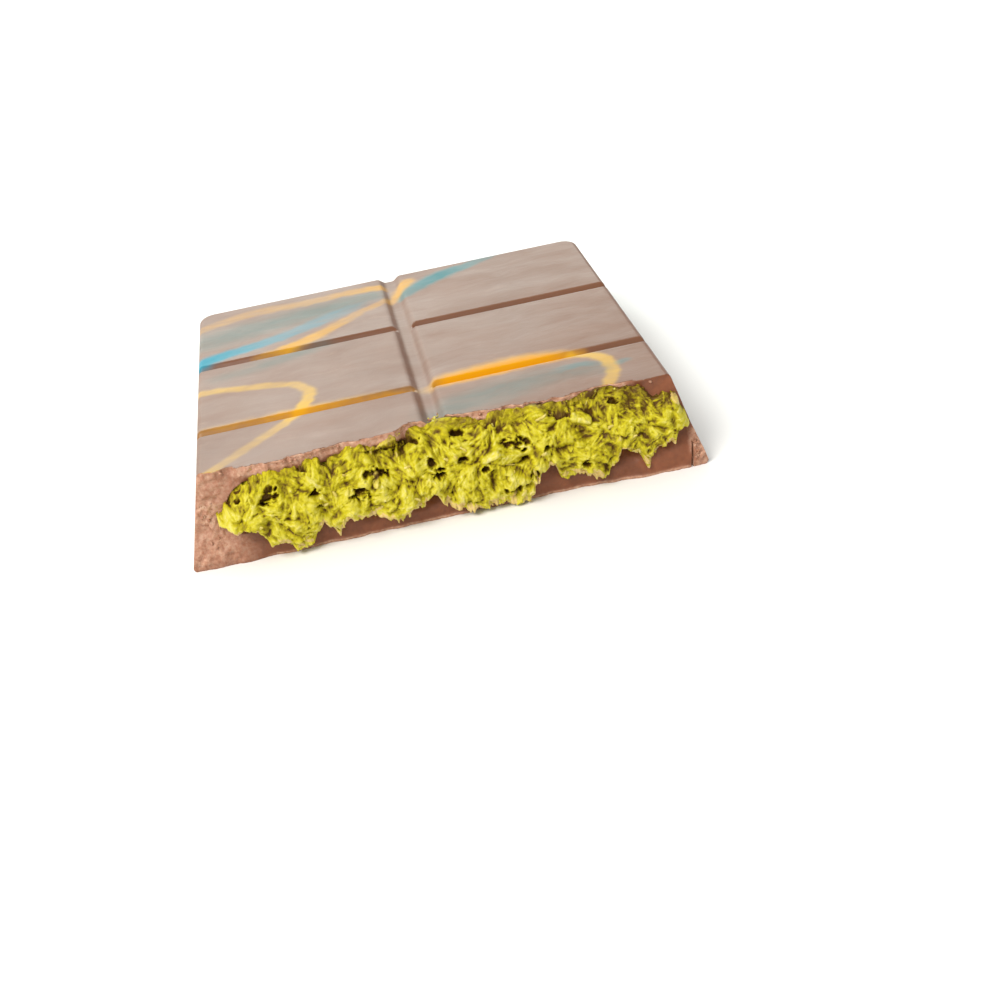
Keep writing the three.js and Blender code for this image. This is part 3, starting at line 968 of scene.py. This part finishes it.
def placeFlake(rng, centre, along, out, length):
    side = out.cross(along).normalized()
    out = along.cross(side)
    # kept inside the filling's own limits
    s = fillingShape
    limits = ((s["left"], s["right"]), (-s["front"], 0), (s["low"], bar["height"] - 0.1))
    for axis, (low, high) in enumerate(limits):
        reach = abs(along[axis]) * length / 2 + 0.3
        centre[axis] = min(max(centre[axis], low + reach), high - reach)
    drawn = {name: rng.uniform(*limits) for name, limits in flakeRanges.items()}
    return {"centre": np.array(centre), "axes": np.array((along, side, out)), "length": length, **drawn}


def bendShape(place, points):
    # the points of the straight shape of length 1, moved to where the flake or crumb is
    t = points[:, 0] * 2
    turn = place["twist"] * t
    slim = 1 - place["taper"] * (t + 1) / 2
    y = points[:, 1] * place["width"] * slim
    z = points[:, 2] * place["thickness"] * slim
    arch = 1 - t * t
    moved = np.stack([
        points[:, 0] * place["length"],
        y * np.cos(turn) - z * np.sin(turn) + place["sway"] * arch,
        y * np.sin(turn) + z * np.cos(turn) + place["bend"] * arch,
    ], axis=1)
    return moved @ place["axes"] + place["centre"]


# how the mass is rounded off and closes behind its face, spreading up and across, in mm
massShape = {
    "foot": (6, 1.5), "ends": 20, "behind": (1.2, 3.0), "back": -4.5, "spread": (7.5, 1.5, 1.06),
    "gap": 0.1,
}


def makeMass(face):
    # the torn face, then back to the break and inside to the back of the bar
    s = fillingShape
    m = massShape
    bm = bmesh.new()
    order = bm.verts.layers.int.new("order")
    bmesh.ops.create_grid(bm, x_segments=s["across"], y_segments=s["up"], size=0.5)
    found = []
    shades = []
    footShare, footDepth = m["foot"]
    for v in bm.verts:
        level = v.co.y + 0.5
        i = round((v.co.x + 0.5) * s["across"])
        j = round(level * s["up"])
        # the lower edge and the two ends are rounded off
        foot = 1 - math.sqrt(1 - (1 - min(1, footShare * level)) ** 2)
        end = 1 - math.sqrt(1 - (1 - min(1, m["ends"] * min(v.co.x + 0.5, 0.5 - v.co.x))) ** 2)
        v.co = face["place"][i, j]
        v.co.y += footDepth * foot * (1 - end)
        v.co.y += max(0, -valueAt(breakLine, v.co.x) - v.co.y) * end
        v[order] = len(found)
        found.append(face["fibre"][i, j])
        shades.append(face["shade"][i, j])
    rim = [e for e in bm.edges if e.is_boundary]
    middle, spreadUp, spreadAcross = m["spread"]
    near, far = m["behind"]
    for step in range(4):
        fresh, rim = extrudeRim(bm, rim)
        for v in fresh:
            x, y, z = v.co
            v[order] = len(found)
            found.append((y, x, 0.3))
            # the parts inside the shell get painted shade
            shades.append(-0.3)
            edge = -valueAt(breakLine, x)
            if step == 0:
                v.co.y = max(edge, y)
                continue
            # it fills the hollow from wall to wall
            z = middle + spreadUp * (z - middle)
            z = min(bar["height"] - bar["roof"] - m["gap"], max(bar["base"] + m["gap"], z))
            wall = bar["wall"] if x > 0 else bar["leftWall"]
            side = bar["width"] / 2 - wall - bar["lean"] * z / bar["height"] - m["gap"]
            y = (edge + near, edge + far, m["back"])[step - 1]
            v.co = (min(side, max(-side, spreadAcross * x)), y, z)
    bmesh.ops.holes_fill(bm, edges=rim, sides=0)
    bmesh.ops.remove_doubles(bm, verts=bm.verts, dist=seam["merge"])
    bmesh.ops.recalc_face_normals(bm, faces=bm.faces)
    kept = [v[order] for v in bm.verts]
    bm.verts.layers.int.remove(order)
    return bm, [found[i] for i in kept], [shades[i] for i in kept]


def foldsOf(mesh, rounds):
    # how far each point stands out of the smoothed surface round it, in mm
    count = len(mesh.vertices)
    co = pointsOf(mesh)
    normal = pointsOf(mesh, "normal")
    edges = np.empty(len(mesh.edges) * 2, np.int32)
    mesh.edges.foreach_get("vertices", edges)
    a, b = edges.reshape(-1, 2).T
    degree = np.bincount(a, minlength=count) + np.bincount(b, minlength=count)
    smooth = co.copy()
    for _ in range(rounds):
        total = np.stack([np.bincount(a, smooth[b, k], count) + np.bincount(b, smooth[a, k], count)
                          for k in range(3)], axis=1)
        smooth = total / np.maximum(degree, 1)[:, None]
    return ((co - smooth) * normal).sum(axis=1) / mm


def makeFilling():
    rng = random.Random(fillingShape["seed"])
    green = makePistachio()
    hollows = list(pits)
    above, top = smallPits["up"]
    for _ in range(smallPits["count"]):
        x = rng.uniform(*smallPits["across"])
        z = rng.uniform(valueAt(lowerEdge, x) + above, top)
        hollows.append((x, z, rng.uniform(*smallPits["radius"])))
    face = makeFace(rng, hollows)
    print("torn face", face["place"].shape)
    bm, found, shades = makeMass(face)
    filling = makeObject("filling_mass", bm, [green])
    mesh = filling.data
    # painted highlight where a point stands out of its surroundings, painted shade in creases
    stand = sum(foldsOf(mesh, rounds) * share for rounds, share in shading["rounds"])
    stand = np.minimum(stand, shading["standMost"]) * shading["stand"]
    setLayer(mesh, "toneAndShading", "FLOAT", np.clip(shading["base"] + stand + np.array(shades), 0, 1))
    setLayer(mesh, "fibre", "FLOAT_VECTOR", found)
    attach(filling, "root")
    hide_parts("filling")
    print("filling", len(filling.data.polygons))
    return filling, face


# Small pieces: pastry flakes caught in the filling, and crumbs beside the break
smallFlakes = {"count": 34, "seed": 5, "length": (0.8, 2.0)}
crumbs = {
    "size": (0.25, 0.8),
    # ledges: share, left, right, low, high, distance in front of the break, its spread
    "chocolate": {"count": 170, "seed": 21, "ledges": [
        (3, -33, -6, 14.3, 14.5, -0.3, 0.4), (2, -3, 3, 13.9, 14.0, -1.5, 0.7),
        (2, 4, 33, 14.3, 14.5, -0.2, 0.3), (2, 37.9, 38.6, 0.8, 4.2, 0.0, 0.06),
        (1, -37.0, -34.5, 3, 10, 0.0, 0.06)]},
    "filling": {"count": 90, "seed": 22, "ledges": [
        (3, -4, 4, 13.95, 14.05, -1.3, 0.8), (2, -30, 30, 14.2, 14.4, -0.1, 0.3)]},
}


def makeFlakeShape():
    # a thin curled flake of length 1 along X
    bm = bmesh.new()
    bmesh.ops.create_grid(bm, x_segments=5, y_segments=2, size=0.5)
    for v in bm.verts:
        t = v.co.x * 2
        v.co.y *= 1 - 0.45 * t * t
        v.co.z = 0.5 - 1.2 * v.co.y * v.co.y
    bmesh.ops.solidify(bm, geom=bm.faces[:], thickness=0.35)
    bmesh.ops.recalc_face_normals(bm, faces=bm.faces)
    return bm


def makeFlakes(face):
    rng = random.Random(smallFlakes["seed"])
    found = []
    for _ in range(smallFlakes["count"]):
        i = rng.randrange(30, face["place"].shape[0] - 20)
        level = 0.1 + 0.85 * rng.random() ** 1.7
        centre = Vector(face["place"][i, int(level * fillingShape["up"])])
        turn = rng.uniform(0, math.pi) if level > 0.25 else rng.gauss(math.pi / 2, 0.6)
        along = Vector((math.cos(turn), rng.uniform(-0.3, 0.1), math.sin(turn))).normalized()
        out = Vector((rng.uniform(-0.4, 0.4), -1, rng.uniform(-0.2, 0.6))).normalized()
        centre += out * rng.uniform(-0.15, 0.1)
        found.append(placeFlake(rng, centre, along, out, rng.uniform(*smallFlakes["length"])))
    flakes = strew("pastry_flakes", meshArrays(makeFlakeShape()), found, [makePastry()])
    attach(flakes, "root")


def makeCrumbShape(rng):
    # a small uneven lump about 1 across
    bm = bmesh.new()
    bmesh.ops.create_cube(bm, size=1)
    bmesh.ops.subdivide_edges(bm, edges=bm.edges, cuts=1, use_grid_fill=True)
    for v in bm.verts:
        v.co = v.co.normalized() * rng.uniform(0.36, 0.6)
    return bm


def crumbAt(rng, place, size):
    spin = Matrix.Rotation(rng.uniform(0, 6.28), 3, "Z") @ Matrix.Rotation(rng.uniform(0, 6.28), 3, "X")
    return {
        "centre": np.array(place),
        "axes": np.array(spin),
        "length": size,
        "width": size * rng.uniform(0.5, 1.0),
        "thickness": size * rng.uniform(0.45, 0.8),
        **dict.fromkeys(("twist", "sway", "bend", "taper"), 0.0),
    }


def makeCrumbs(name, kind, material):
    rng = random.Random(kind["seed"])
    ledges = kind["ledges"]
    shares = [ledge[0] for ledge in ledges]
    found = []
    for _ in range(kind["count"]):
        _, left, right, low, high, ahead, spread = rng.choices(ledges, shares)[0]
        size = rng.uniform(*crumbs["size"]) * rng.uniform(0.6, 1.0)
        x = rng.uniform(left, right)
        z = rng.uniform(low, high)
        y = -breakReach(x, z) - ahead + rng.gauss(0, spread)
        found.append(crumbAt(rng, (x, y, z + size * 0.22), size))
    piece = strew(name, meshArrays(makeCrumbShape(rng)), found, [material])
    tones = [rng.uniform(0.4, 1) for _ in piece.data.vertices]
    setLayer(piece.data, "crumbledAndLit", "FLOAT", tones)
    setLayer(piece.data, "toneAndShading", "FLOAT", tones)
    setLayer(piece.data, "fibre", "FLOAT_VECTOR", [(t, 2 * t, t) for t in tones])
    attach(piece, "root")
    return piece


makeCamera()
makeStudio()
shell = makeShell()
filling, face = makeFilling()
makeFlakes(face)
makeCrumbs("chocolate_crumbs", crumbs["chocolate"], shell.data.materials[1])
makeCrumbs("filling_crumbs", crumbs["filling"], filling.data.materials[0])
